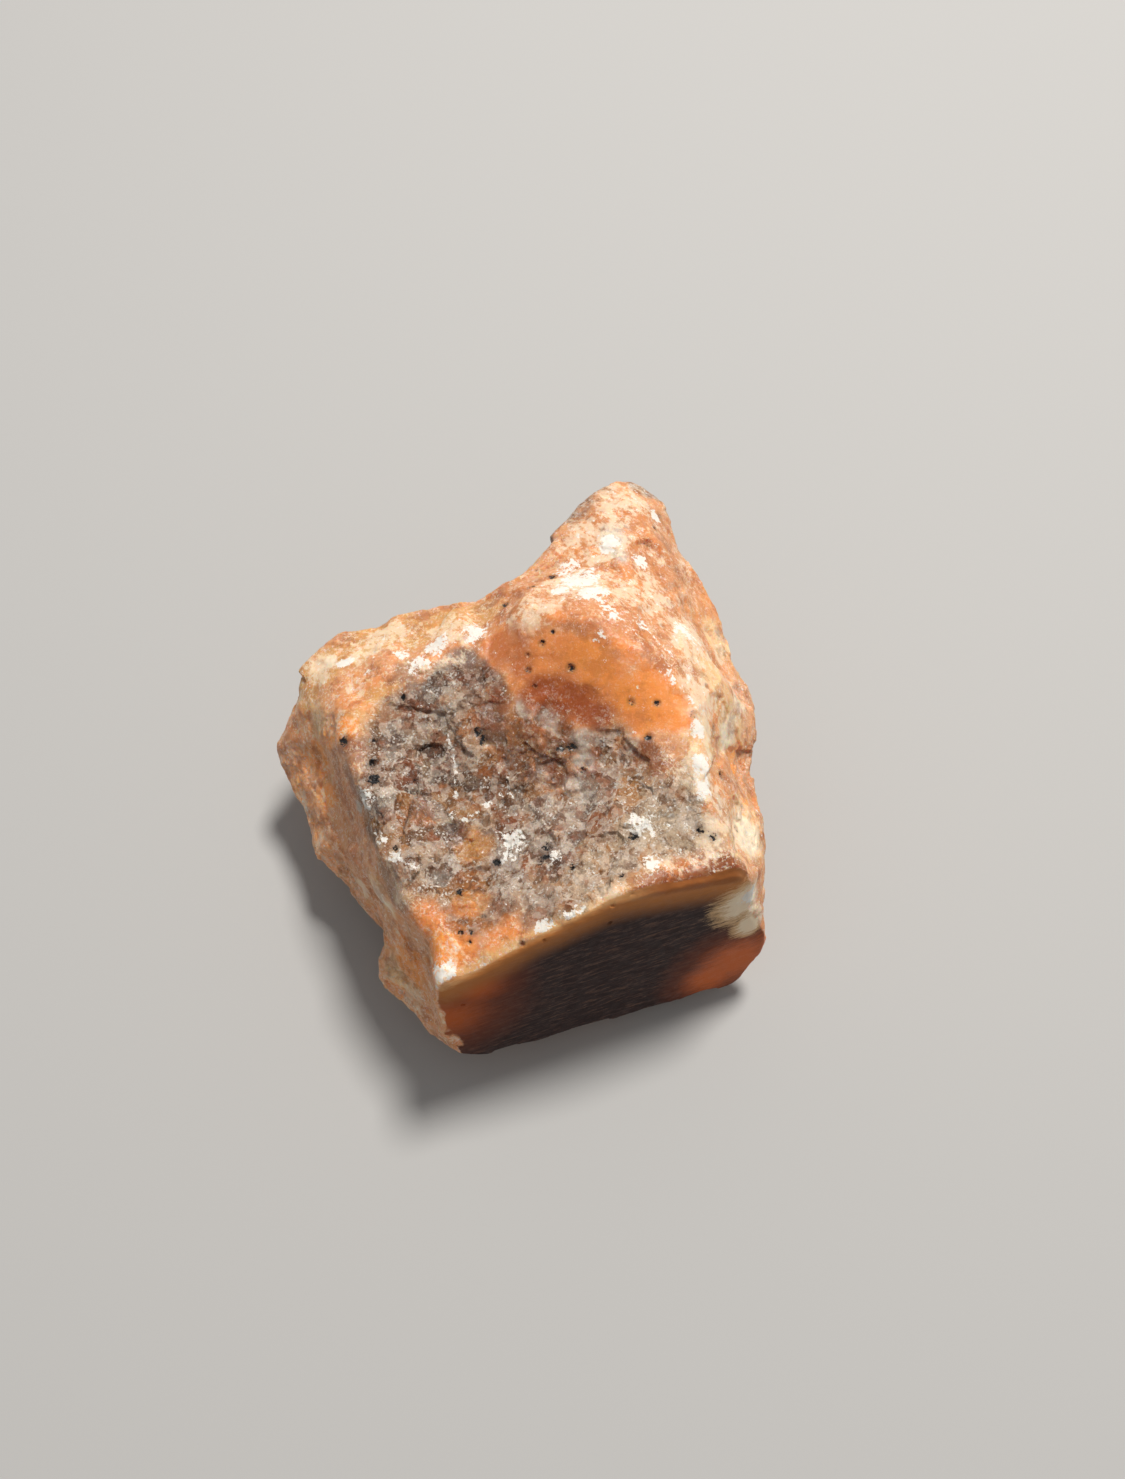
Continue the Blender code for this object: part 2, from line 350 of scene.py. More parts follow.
def break_into_grains(places, facings, middles, size, tip, lift, seed):
    """Heights that break the surface into flat facets, each tipped and lifted by chance."""
    chance = np.random.default_rng(seed)
    grain, gap = share_out(places, middles)
    at_middle, _ = share_out(middles, places)
    tipped = facings[at_middle[:, 0]] + chance.normal(0, tip, (len(middles), 3))
    tipped /= np.linalg.norm(tipped, axis=1)[:, None]
    lifts = chance.normal(0, lift, len(middles))
    heights = []
    for which in grain.T:
        rise = np.einsum("ij,ij->i", middles[which] - places, tipped[which])
        slope = np.maximum(np.einsum("ij,ij->i", facings, tipped[which]), FLATTEST_SLOPE)
        heights.append(rise / slope + lifts[which])
    near_border = 0.5 * (1 - ramp(gap, 0, BORDER_WIDTH * size))
    height = heights[0] * (1 - near_border) + heights[1] * near_border
    return np.clip(height, -HIGHEST_STEP * size, HIGHEST_STEP * size)


facings = evened(stone.data, facings, FACING_PASSES)
facings /= np.linalg.norm(facings, axis=1)[:, None]
scoop_relief = ramp(near(places, SCOOP), 0.05, 0.35)
basin_relief = ramp(near(places, BASIN), -0.05, 0.45)
rough_relief = np.maximum(basin_relief, FLANK_RELIEF * ramp(near(places, FLANKS), 0.0, 0.6))
off_saw = ramp(saw_level - places @ saw_facing, 0.05 * MM, 0.9 * MM)
off_flats = off_saw * ramp(places[:, 2], 0.15 * MM, 1.2 * MM)
for step, (size, tip, lift, on_scoop, in_basin, elsewhere) in enumerate(FACETS):
    middles = middles_of(places, size, MIDDLES_SEED + step)
    if step == FLAKE_STEP:
        flake_middles = middles
    height = break_into_grains(places, facings, middles, size, tip, lift, TIPS_SEED + step)
    weight = elsewhere + (in_basin - elsewhere) * rough_relief
    weight = (weight + (on_scoop - weight) * scoop_relief) * off_flats
    places = places + facings * (height * weight)[:, None]
saw_scratches = SAW_MARK_DEPTH * (cloudy(places, SAW_MARK_WIDTH, seed=9) - 1) * (1 - off_flats)
places = places + facings * saw_scratches[:, None]
put_places(stone.data, places - facings * (PIT_DEPTH * ramp(pit_depth(places), 0.0, 0.7))[:, None])

# Thinned to what a stored mesh may hold, the flat parts first
thinning = stone.modifiers.new("thinning", "DECIMATE")
thinning.ratio = MOST_TRIANGLES / sum(len(face.vertices) - 2 for face in stone.data.polygons)
apply_modifiers(stone)
stone.data.shade_smooth()
stone.data.set_sharp_from_angle(angle=SHARP_EDGE)


# Colours, 0 to 255 as on a screen, for the stone in plain daylight
def daylight(red, green, blue):
    """A screen colour as the light it stands for."""
    return tuple(((level / 255 + 0.055) / 1.055) ** 2.4 for level in (red, green, blue))


PEACH = daylight(202, 134, 84)
CREAM = daylight(240, 222, 194)
HONEY = daylight(206, 152, 92)
WAXY_ORANGE = daylight(226, 144, 78)
DEEP_ORANGE = daylight(234, 150, 72)
RED_BROWN = daylight(140, 74, 40)
ROSY_TAN = daylight(212, 152, 106)
BUTTER = daylight(230, 190, 142)
MAUVE_GREY = daylight(140, 116, 103)
DARK_SMOKE = daylight(90, 70, 58)
PALE_GREY = daylight(192, 176, 162)
CHESTNUT = daylight(140, 82, 44)
FAWN = daylight(168, 126, 94)
SAND = daylight(198, 164, 132)
AMBER = daylight(200, 138, 72)
WHITE = daylight(232, 229, 223)
OLIVE_GREY = daylight(66, 64, 56)
DARK_BROWN = daylight(74, 46, 32)
SPECK_BLACK = (0.012, 0.011, 0.012)
SAWN_BROWN = daylight(70, 54, 53)
SAWN_DARK = daylight(38, 27, 26)
SAWN_RED_GLOW = daylight(112, 58, 38)
EMBER_AND_SHADE = daylight(156, 76, 26)
TAWNY = daylight(196, 118, 66)
UMBER = daylight(104, 62, 36)
PAINTED_RIM_GLOW = daylight(186, 120, 66)
PAINTED_RIM_LIGHT = daylight(222, 176, 122)
BURNT_AMBER = daylight(144, 84, 44)
PAINTED_GLOW_ORANGE = daylight(206, 102, 42)

# Washes of colour over the body: a colour, how ragged its border is, and its dabs
WASHES = [
    (PEACH, 0.5, [
        (620, 510, 6.0), (600, 560, 6.0), (650, 570, 6.0), (560, 600, 5.0), (680, 620, 5.5), (630, 630, 5.0),
        (520, 620, 4.0)]),
    (HONEY, 0.4, [
        (305, 680, 4.0), (335, 660, 4.0), (370, 640, 4.0), (410, 630, 4.0), (450, 620, 3.6),
        (480, 612, 2.8)]),
    (BUTTER, 0.5, [
        (715, 680, 4.0), (730, 720, 4.0), (700, 740, 3.0), (745, 830, 4.0), (725, 850, 3.5), (715, 640, 2.5),
        (400, 970, 3.0), (384, 892, 2.6), (320, 722, 2.4)]),
    (HONEY, 0.3, [(304, 686, 3.0)]),
    (CREAM, 0.6, [(330, 665, 1.2), (384, 894, 1.6), (735, 700, 2.6), (728, 730, 2.2), (745, 835, 2.2)]),
    (FAWN, 0.3, BASIN + [(358, 765, 2.4), (360, 785, 2.0), (352, 745, 1.8)]),
    (FAWN, 0.4, [
        (395, 885, 3.6), (410, 820, 5.0), (480, 880, 4.0), (540, 900, 5.0), (600, 870, 6.0), (640, 790, 6.0),
        (690, 840, 5.0), (540, 830, 5.0), (365, 745, 2.2), (405, 675, 2.4), (590, 830, 5.0)]),
    (HONEY, 0.4, [(380, 700, 2.4), (358, 722, 2.0)]),
    (MAUVE_GREY, 0.5, [
        (446, 694, 2.8), (468, 676, 2.6), (488, 668, 1.6), (430, 700, 2.4), (425, 722, 3.4), (440, 745, 3.0),
        (400, 740, 2.4), (597, 804, 2.6), (470, 690, 2.0), (455, 665, 1.8), (535, 800, 2.2),
        (560, 850, 2.4)]),
    (MAUVE_GREY, 0.4, [(412, 768, 3.8), (440, 800, 2.6), (505, 845, 3.0)]),
    (DARK_SMOKE, 0.5, [
        (415, 768, 2.8), (395, 805, 1.6), (472, 791, 1.8), (508, 838, 2.4), (442, 878, 1.5),
        (395, 760, 1.6)]),
    (CHESTNUT, 0.5, [
        (531, 750, 3.4), (497, 712, 2.4), (478, 700, 1.8), (415, 818, 2.2), (560, 735, 2.2), (610, 750, 2.4),
        (651, 756, 2.4), (590, 765, 2.0), (640, 745, 2.0), (540, 775, 2.0)]),
    (AMBER, 0.5, [
        (485, 757, 2.6), (475, 846, 2.6), (477, 884, 2.2), (520, 720, 1.2), (556, 760, 1.0), (608, 845, 1.3),
        (630, 880, 1.6), (445, 908, 2.2), (475, 910, 1.8), (570, 880, 1.4)]),
    (RED_BROWN, 0.5, [(520, 745, 1.6), (545, 762, 1.5), (428, 800, 0.9), (497, 700, 1.0)]),
    (UMBER, 0.5, [
        (515, 735, 3.0), (545, 740, 3.0), (500, 726, 2.4), (506, 765, 2.0), (560, 770, 1.6), (530, 752, 3.0),
        (480, 712, 1.6), (418, 812, 1.4), (455, 832, 1.4)]),
    (PALE_GREY, 0.6, [
        (528, 706, 1.4), (550, 714, 1.5), (580, 738, 1.2), (586, 766, 1.2), (575, 787, 1.2), (440, 704, 1.5),
        (360, 806, 0.9), (552, 840, 1.2), (560, 820, 1.3), (628, 738, 1.2), (487, 942, 0.9), (616, 533, 1.6),
        (622, 560, 1.5)]),
    (SAND, 0.5, [
        (452, 811, 1.4), (480, 807, 1.6), (398, 786, 1.2), (424, 864, 1.7), (692, 792, 2.2), (648, 838, 2.4),
        (705, 832, 3.0), (513, 840, 1.7), (398, 892, 1.8)]),
    (OLIVE_GREY, 0.2, [(381, 817, 3.0), (376, 790, 1.4), (372, 766, 0.9), (541, 850, 0.9), (385, 832, 1.0)]),
    (DARK_BROWN, 0.5, [(450, 829, 1.1), (408, 838, 1.0), (487, 825, 1.1), (436, 782, 1.0)]),
    (WAXY_ORANGE, 0.3, SCOOP + [(447, 945, 3.8), (500, 936, 2.4), (430, 930, 3.0)]),
    (DEEP_ORANGE, 0.5, [
        (600, 668, 2.6), (630, 690, 2.8), (662, 710, 2.6), (585, 655, 1.8), (440, 955, 2.6), (733, 765, 2.2),
        (742, 796, 1.4), (345, 730, 1.4), (328, 738, 2.4), (318, 760, 2.4), (330, 800, 2.0), (300, 790, 1.6),
        (410, 965, 3.4)]),
    # deeper red at the foot of the scoop, partly painted shade
    (EMBER_AND_SHADE, 0.25, [(562, 697, 2.8), (584, 704, 2.4), (540, 694, 2.2), (602, 714, 1.8)]),
    (TAWNY, 0.3, [(502, 650, 2.4), (512, 640, 2.2), (520, 665, 1.8)]),
    # painted glow where the stone is thin at the lower right
    (PAINTED_GLOW_ORANGE, 0.25, [(712, 974, 4.0), (736, 958, 4.6), (690, 988, 2.4)]),
    (BURNT_AMBER, 0.4, [(698, 876, 2.4), (670, 884, 1.6), (724, 870, 1.8)]),
    # partly painted light: cream on the lit chip right of the sawn face and on the front corner's highlight
    (CREAM, 0.3, [(746, 905, 3.0), (752, 920, 2.0), (444, 978, 1.2)]),
]
CLEAR_PATCH_RADIUS = 4.0 * MM
GRAINY_PATCH_RADIUS = 4.2 * MM
PATCH_STRENGTH = 0.8
ORANGE_STRENGTH = 0.6
RAGGED_WIDTH = 2.2 * MM
BROAD_WIDTH = 9 * MM

places = places_of(stone.data)
ragged = cloudy(places, RAGGED_WIDTH, seed=5)
broad = cloudy(places, BROAD_WIDTH, seed=6)


def covered(depth, raggedness, softness, spill=0.0):
    """How fully patches with ragged, soft borders that may spill cover each point, from its depth in them."""
    return ramp(depth + raggedness * ragged, -spill, softness)


def washed(tint, colour, share):
    """The stone's colours with a share of one more colour laid over them."""
    return tint + (np.array(colour) - tint) * share[:, None]


far_clear = covered(patch_depth(places, unseen_clear, CLEAR_PATCH_RADIUS), raggedness=0.6, softness=0.6)
far_grainy = covered(patch_depth(places, unseen_grainy, GRAINY_PATCH_RADIUS), raggedness=0.6, softness=0.4)
tint = np.tile(ROSY_TAN, (len(places), 1))
tint = washed(tint, WAXY_ORANGE, ORANGE_STRENGTH * covered(broad, raggedness=0.5, softness=0.5, spill=0.1))
tint = washed(tint, PEACH, covered(-broad, raggedness=0.5, softness=0.5, spill=-0.1))
tint = washed(tint, FAWN, PATCH_STRENGTH * far_grainy)
tint = washed(tint, DEEP_ORANGE, PATCH_STRENGTH * far_clear)
for wash, raggedness, dabs in WASHES:
    tint = washed(tint, wash, covered(near(places, dabs), raggedness, softness=0.5))

# Where the calcite is clear and waxy, besides the scoop
CLEAR = [(736, 958, 4.6), (712, 974, 4.0), (560, 930, 1.0), (610, 908, 1.0), (660, 890, 1.2), (700, 882, 1.6)]
BROWN_WINDOWS = [
    (515, 735, 4.2), (545, 745, 4.0), (497, 715, 2.6), (420, 812, 2.0), (455, 832, 1.4), (475, 846, 2.2),
    (470, 905, 2.0), (590, 760, 2.0), (650, 750, 2.0), (560, 780, 1.6),
]
WINDOW_CLEARNESS = 0.7
clear = covered(near(places, SCOOP + CLEAR), raggedness=0.3, softness=0.6, spill=0.2)
windows = np.maximum(far_clear, covered(near(places, BROWN_WINDOWS), raggedness=0.6, softness=0.6))
clear = np.maximum(clear, WINDOW_CLEARNESS * windows)

# Each flake of the hollow has its own shade, even right across it, and ragged borders
FLAKE_SHADES = [(DARK_SMOKE, 0.34), (CHESTNUT, 0.16), (PALE_GREY, 0.22), (AMBER, 0.14), (SAND, 0.14)]
FLAKE_SHADE_SHARE = 0.5
FLAKE_SEED = 31
BEND = 0.28 * MM
BEND_WIDTH = 1.0 * MM
BEND_SEEDS = (21, 22, 23)
FLAKES_IN_HOLLOW = 0.85
FLAKES_ON_FLANK = 0.35
HOLLOW_PAINTED_SHADE = 0.3
FLANK_PAINTED_LIGHT = 0.3
chance = np.random.default_rng(FLAKE_SEED)
bent = places + BEND * np.stack([cloudy(places, BEND_WIDTH, seed) for seed in BEND_SEEDS], axis=1)
flake, flake_gap = share_out(bent, flake_middles)
at_flake, _ = share_out(flake_middles, places)
shades = np.array([shade for shade, _ in FLAKE_SHADES])
odds = np.array([odd for _, odd in FLAKE_SHADES])
flake_tint = tint[at_flake[:, 0]]
picked = chance.choice(len(shades), len(flake_tint), p=odds / odds.sum())
flake_tint += (shades[picked] - flake_tint) * FLAKE_SHADE_SHARE
hollow = covered(near(places, BASIN), raggedness=0.0, softness=0.3)
hollow = np.maximum(hollow, PATCH_STRENGTH * far_grainy) * (1 - clear)
flank = covered(near(places, FLANKS), raggedness=0.3, softness=0.6)
tint = washed(tint, flake_tint[flake[:, 0]], np.maximum(FLAKES_IN_HOLLOW * hollow, FLAKES_ON_FLANK * flank))
# Painted shade darkens the hollow, and painted light brightens the flanks outside it
tint = tint * (1 - HOLLOW_PAINTED_SHADE * hollow + FLANK_PAINTED_LIGHT * flank * (1 - hollow))[:, None]

# The sawn face gets painted glow at its rim and ends, and its right end runs out into the natural facet,
# which gets painted light
NATURAL_END = [(752, 900, 1.6)]
SAW_ENDS = {
    "left_end": [(448, 1020, 7.5), (478, 990, 5.0)],
    "right_end": [(736, 960, 6.0), (712, 976, 4.5)],
    "lit_end": [(746, 903, 3.4), (750, 925, 2.0)],
}
SAW_RIM = [(441, 988), (466, 973), (493, 957), (520, 942), (547, 929), (578, 915), (609, 901), (644, 887),
           (675, 881), (714, 876), (741, 875)]
SAWN_TO = 0.28 * MM
SAWN_NO_MORE = 0.5 * MM
RIM_REACH = 6 * MM
THIN_LIP_LEFT = 8 * MM
THIN_LIP_RIGHT = 13 * MM
THIN_LIP_WIDTH = 0.9
RIM_LIGHT_STRENGTH = 0.85
natural_end = covered(near(places, NATURAL_END), raggedness=0.4, softness=0.5)
sawn = (1 - ramp(saw_level - places @ saw_facing, SAWN_TO, SAWN_NO_MORE)) * (1 - natural_end)
lip = ramp(places[:, 0], THIN_LIP_LEFT, THIN_LIP_RIGHT)
rim = np.minimum(along(places, SAW_RIM), RIM_REACH) / MM - THIN_LIP_WIDTH * lip
# A pale tan line of painted light along the rim, turning to the lip's own burnt amber on the right
painted_rim_light = washed(np.tile(PAINTED_RIM_LIGHT, (len(places), 1)), BURNT_AMBER, lip)
tint = washed(tint, painted_rim_light, RIM_LIGHT_STRENGTH * (1 - ramp(rim + 0.4 * ragged, 0.2, 0.9)))

# Chalky crust, in dabs where it is thick, along veins, and in flecks elsewhere
CRUST_DABS = [
    (567, 566, 1.5), (579, 580, 2.2), (592, 592, 1.8), (606, 606, 0.9), (616, 614, 0.8), (598, 640, 1.2),
    (640, 622, 1.0), (645, 664, 0.8), (671, 675, 1.2), (683, 632, 1.3), (610, 545, 1.2), (655, 518, 1.0),
    (690, 700, 1.0), (697, 730, 1.2), (700, 765, 1.2), (704, 790, 1.0), (560, 590, 1.0), (640, 560, 1.0),
    (345, 665, 1.0), (434, 647, 1.6), (476, 633, 1.6), (420, 662, 1.4), (400, 655, 1.0), (398, 856, 0.9),
    # (444, 976) on the front corner is a painted highlight, laid on as crust
    (384, 842, 0.7), (410, 866, 0.6), (367, 801, 1.6), (548, 929, 1.4), (575, 918, 1.2), (444, 976, 1.8),
    (512, 840, 1.6), (754, 898, 1.4), (640, 828, 1.3), (650, 865, 1.0), (507, 858, 1.0), (556, 856, 0.9),
]
VEILED = [
    (304, 800, 2.0), (322, 845, 2.0), (352, 895, 2.0), (415, 1000, 2.4), (620, 500, 5.0), (600, 540, 5.0),
    (580, 585, 5.0), (640, 590, 5.0), (690, 640, 5.0), (705, 700, 4.5), (700, 770, 4.0), (690, 830, 5.0),
    (740, 830, 4.0), (320, 670, 3.6), (380, 645, 4.0), (450, 630, 3.4), (650, 840, 5.0), (600, 880, 4.0),
    (750, 900, 3.0), (530, 610, 4.0),
]
VEINS = [
    [(425, 716), (447, 735), (456, 767), (456, 797)], [(438, 813), (467, 820), (499, 795), (529, 790)],
    [(340, 702), (370, 670), (410, 648)], [(478, 941), (482, 955), (485, 966)], [(506, 775), (512, 802)],
    [(376, 835), (395, 850), (415, 868)], [(567, 560), (592, 592), (625, 620)],
    [(640, 620), (672, 655), (700, 690)],
]
CRACKS = [
    [(529, 790), (545, 788), (560, 792), (583, 790)], [(336, 742), (346, 770), (350, 785)],
    [(455, 824), (442, 830), (438, 838)], [(476, 815), (499, 838)], [(415, 800), (402, 828), (410, 846)],
]
CHANCE_VEIL = 0.6
BARE_CRUST = -0.02
VEILED_CRUST = 0.13
HOLLOW_CRUST = -0.03
WAXY_CRUST = -0.25
THICK_CRUST = 0.5
VEIN_CRUST = 0.36


def drawn(places, routes, reach, softness):
    """Lines along these routes: 1 on a line, fading to 0 at its reach."""
    return np.max([ramp(reach - along(places, route), 0, softness) for route in routes], axis=0)


veiled = covered(near(places, VEILED), raggedness=0.4, softness=0.6)
veiled = np.maximum(veiled, CHANCE_VEIL * covered(broad, raggedness=1.0, softness=0.9, spill=-0.1))
crust = BARE_CRUST + VEILED_CRUST * veiled + HOLLOW_CRUST * hollow
crust = crust + (WAXY_CRUST - crust) * clear
crust = crust + THICK_CRUST * ramp(near(places, CRUST_DABS), -0.3, 0.7)
crust = crust * (1 - sawn) - sawn
crust = np.maximum(crust, VEIN_CRUST * drawn(places, VEINS, 0.45 * MM, 0.4 * MM))

# What each point of the surface is made of, and where painted light and glow go, kept on the mesh for the
# shader
FLANK_GRAININESS = 0.45
kept_on_mesh = {
    "crust": crust,
    "veiled": veiled,
    "waxy": clear,
    "sawn": sawn,
    "rim": rim,
    "grainy": np.maximum(hollow, FLANK_GRAININESS * flank),
    "pit": np.maximum(pit_depth(places), -2),
    "crack": drawn(places, CRACKS, 0.35 * MM, 0.35 * MM),
    "flake_border": np.minimum(flake_gap / MM, 1),
}
kept_on_mesh.update({name: np.maximum(near(places, dabs), -1) for name, dabs in SAW_ENDS.items()})
for name, values in kept_on_mesh.items():
    layer = stone.data.attributes.new(name, "FLOAT", "POINT")
    layer.data.foreach_set("value", values.astype(np.float32))
tints = stone.data.attributes.new("tint", "FLOAT_COLOR", "POINT")
tints.data.foreach_set("color", np.column_stack([tint, np.ones(len(tint))]).astype(np.float32).ravel())

# The calcite itself
SUGAR = 0.16 * MM
CLEAVAGE = 0.55 * MM
SPLINTER = 0.75 * MM
TEAR = 0.7 * MM
STREAK_TURN = radians(-48)
STREAK_STRETCH = (1.5, 1.0, 1.2)
SAW_STREAK = 0.25 * MM
SAW_STREAK_STRETCH = (7.0, 1.0, 1.0)
WEATHERED_RELIEF = 0.06 * MM
SAW_STREAK_RELIEF = 0.03 * MM
MIDDLE = (0.5, 0.5, 0.5)
AVERAGE = (1 / 3, 1 / 3, 1 / 3)
FIRST_ONLY = (1.0, 0, 0)


class Layer:
    """A number, a direction or a colour on its way through the calcite's shader."""

    nodes = None

    def __init__(self, socket):
        self.socket = socket

    @classmethod
    def made(cls, kind, settings=None, output=0, **inputs):
        """A new node's output. Inputs go by their label with _ for a space, or by number as n0, n1."""
        node = cls.nodes.nodes.new(kind)
        for name, value in (settings or {}).items():
            setattr(node, name, value)
        for name, value in inputs.items():
            key = int(name[1:]) if name[0] == "n" and name[1:].isdigit() else name.replace("_", " ")
            if isinstance(value, Layer):
                cls.nodes.links.new(value.socket, node.inputs[key])
            else:
                node.inputs[key].default_value = value
        return cls(node.outputs[output]) if node.outputs else None

    def math(self, operation, *others):
        values = {f"n{place}": value for place, value in enumerate((self, *others))}
        return Layer.made("ShaderNodeMath", {"operation": operation}, **values)

    def __add__(self, other):
        return self.math("ADD", other)

    def __sub__(self, other):
        return self.math("SUBTRACT", other)

    def __rsub__(self, other):
        return Layer.made("ShaderNodeMath", {"operation": "SUBTRACT"}, n0=other, n1=self)

    def __mul__(self, other):
        return self.math("MULTIPLY", other)

    __radd__ = __add__
    __rmul__ = __mul__

    def above(self, low, high):
        """0 up to low, 1 from high, and a smooth rise between."""
        return Layer.made("ShaderNodeMapRange", {"interpolation_type": "SMOOTHSTEP"},
                          Value=self, From_Min=low, From_Max=high)

    def toward(self, other, share):
        """This colour mixed toward another one by a share of 0 to 1."""
        if not isinstance(other, Layer):
            other = (*other, 1.0)
        return Layer.made("ShaderNodeMix", {"data_type": "RGBA"}, output=2, n0=share, n6=self, n7=other)

    def vector_math(self, operation, other, output=0):
        return Layer.made("ShaderNodeVectorMath", {"operation": operation}, output, n0=self, n1=other)

    def dot(self, other):
        return self.vector_math("DOT_PRODUCT", other, "Value")

    def plus(self, other):
        return self.vector_math("ADD", other)

    def less(self, other):
        return self.vector_math("SUBTRACT", other)

    def times(self, share):
        return self.vector_math("MULTIPLY", (share, share, share))


calcite = bpy.data.materials.new("calcite")
calcite.use_nodes = True
Layer.nodes = calcite.node_tree
calcite.node_tree.nodes.clear()
where = Layer.made("ShaderNodeTexCoord", output="Object")


def stretched(turn, stretch):
    """Places on the stone, turned round its upright, where a pattern comes out this much longer each way."""
    return Layer.made("ShaderNodeMapping", {"vector_type": "TEXTURE"}, Vector=where, Rotation=(0, 0, turn),
                      Scale=stretch)


def held_as(name, output="Fac"):
    """What was kept on the mesh under this name."""
    return Layer.made("ShaderNodeAttribute", {"attribute_name": name}, output=output)


def haze(size, detail=3.0, roughness=0.6, place=where):
    """Random cloudiness of this width, 0 to 1."""
    return Layer.made("ShaderNodeTexNoise", Vector=place, Scale=1 / size, Detail=detail, Roughness=roughness)


def grit(size, output, place=where):
    """Cells of this width: a chance colour for each, or its middle."""
    return Layer.made("ShaderNodeTexVoronoi", output=output, Vector=place, Scale=1 / size)


grainy = held_as("grainy")
veil = held_as("veiled")
waxy = held_as("waxy")
sawn_face = held_as("sawn").above(0.2, 0.8)
streaked = stretched(STREAK_TURN, STREAK_STRETCH)
jitter = Layer.made("ShaderNodeTexNoise", output="Color", Vector=where, Scale=1 / TEAR, Detail=3.0)
torn = where.plus(jitter.less(MIDDLE).times(TEAR))

# Rusty and orange clouds in the body
body = held_as("tint", "Color")
rust = haze(2.2 * MM, 6.0, 0.68).above(0.52, 0.38) * 0.5 * (1 - veil * 0.7) * (1 - waxy * 0.5)
glow = haze(1.6 * MM, 7.0, 0.72, streaked).above(0.52, 0.59) * (0.2 + veil * 0.5) * (1 - grainy * 0.85)
shade = body.toward(RED_BROWN, rust).toward(WAXY_ORANGE, glow)

# Dark and pale splinters in the hollow's grains
splinter = grit(SPLINTER, "Color", torn).dot(AVERAGE)
shade = shade.toward(DARK_BROWN, splinter.above(0.42, 0.3) * 0.55 * grainy)
shade = shade.toward(PALE_GREY, splinter.above(0.56, 0.64) * 0.45 * grainy * (1 - waxy))

# A pale veil, frost and thread veins on the weathered outside
veil_cloud = haze(0.55 * MM, 8.0, 0.72, streaked) * 0.6 + haze(2.0 * MM) * 0.4 + veil * 0.13
shade = shade.toward(CREAM, veil_cloud.above(0.55, 0.65) * (1 - waxy * 0.9) * (0.64 - grainy * 0.38))
frost = haze(0.28 * MM, 5.0, 0.75).above(0.53, 0.63) * haze(1.4 * MM, 4.0, 0.7).above(0.42, 0.56)
shade = shade.toward(WHITE, frost * (1 - waxy * 0.75) * (0.6 - grainy * 0.42))
thread = (haze(1.7 * MM, 5.0, 0.6, torn) - 0.5).math("ABSOLUTE").above(0.022, 0.004)
thread = thread * haze(2.5 * MM).above(0.42, 0.55) * (1 - waxy) * (1 - grainy * 0.7)
shade = shade.toward(CREAM, thread * 0.5)

# Pale seams between the flakes, and sugary grains, white or dark; the white ones are partly painted glints
seam = (held_as("flake_border") + (haze(0.3 * MM, 4.0, 0.7) - 0.5) * 0.5).above(0.22, 0.06)
shade = shade.toward(PALE_GREY, seam * haze(1.6 * MM, 4.0).above(0.44, 0.54) * grainy * (0.85 - waxy * 0.6))
sugar_grain = grit(SUGAR, "Color")
sugar_level = sugar_grain.dot(AVERAGE)
white_sugar_and_glints = sugar_level.above(0.58, 0.74) * haze(1.1 * MM, 5.0, 0.7).above(0.44, 0.6)
white_sugar_and_glints = white_sugar_and_glints * (grainy * 0.3 + 0.3) * (1 - waxy * 0.5)
shade = shade.toward(WHITE, white_sugar_and_glints)
dark_dust = sugar_level.above(0.38, 0.32) * haze(1.1 * MM, 4.0, 0.7).above(0.5, 0.60) * grainy
shade = shade.toward(DARK_BROWN, dark_dust * 0.45)

# Chalky crust, then the black specks with the brown stain round them and along the cracks
crust_noise = (haze(0.8 * MM, 9.0, 0.75, streaked) - 0.5) * 2.0 + (haze(0.35 * MM, 5.0) - 0.5) * 1.2
crusted = (held_as("crust") + crust_noise).above(0.33, 0.40)
shade = shade.toward(WHITE, crusted * 0.92)
stain = held_as("pit").above(-0.9, 0.2) * 0.4 + held_as("crack") * 0.8
shade = shade.toward(DARK_BROWN, stain.above(0, 1))
speck = (held_as("pit") + (haze(0.4 * MM, 5.0, 0.75) - 0.5) * 3.4).above(0.25, 0.38)
shade = shade.toward(SPECK_BLACK, speck)

# The sawn face, dark in the middle, with painted glow where the stone behind it is thin and painted light at
# its lit end
saw_streaks = haze(SAW_STREAK, 5.0, 0.8, stretched(SAW_TURN, SAW_STREAK_STRETCH))
streak_shift = (saw_streaks - 0.5) * 1.6
SAW_TINTS = [
    # colour, where it was kept, how far streaks shift it, its outer and inner limit, its strength
    # painted red and orange glow at both ends
    (SAWN_RED_GLOW, "left_end", 0.3, -0.3, 0.5, 0.85),
    (SAWN_RED_GLOW, "right_end", 0.5, -0.5, 0.3, 0.8),
    (PAINTED_GLOW_ORANGE, "left_end", 0.3, 0.3, 1.0, 0.7),
    (PAINTED_GLOW_ORANGE, "right_end", 0.5, 0.1, 0.8, 0.9),
    # painted amber glow below the rim
    (PAINTED_RIM_GLOW, "rim", 1.5, 4.0, 0.3, 1.0),
    # painted light on the lit end next to the natural facet
    (BUTTER, "lit_end", 1.2, -0.2, 0.2, 0.7),
    (CREAM, "lit_end", 1.0, 0.2, 0.5, 0.85),
    # the rim's tint, with its line of painted light, carried over the edge
    (body, "rim", 0.8, 0.7, 0.1, 0.7),
]
saw_shade = Layer.made("ShaderNodeMix", {"data_type": "RGBA"}, output=2,
                       n0=saw_streaks.above(0.6, 0.42) * 0.75, n6=(*SAWN_BROWN, 1.0), n7=(*SAWN_DARK, 1.0))
saw_shade = saw_shade.toward(FAWN, saw_streaks.above(0.53, 0.64) * 0.24)
for colour, name, shift, outer, inner, strength in SAW_TINTS:
    place_in_tint = (held_as(name) + streak_shift * shift).above(outer, inner)
    saw_shade = saw_shade.toward(colour, place_in_tint * strength)
final_colour = shade.toward(saw_shade, sawn_face)

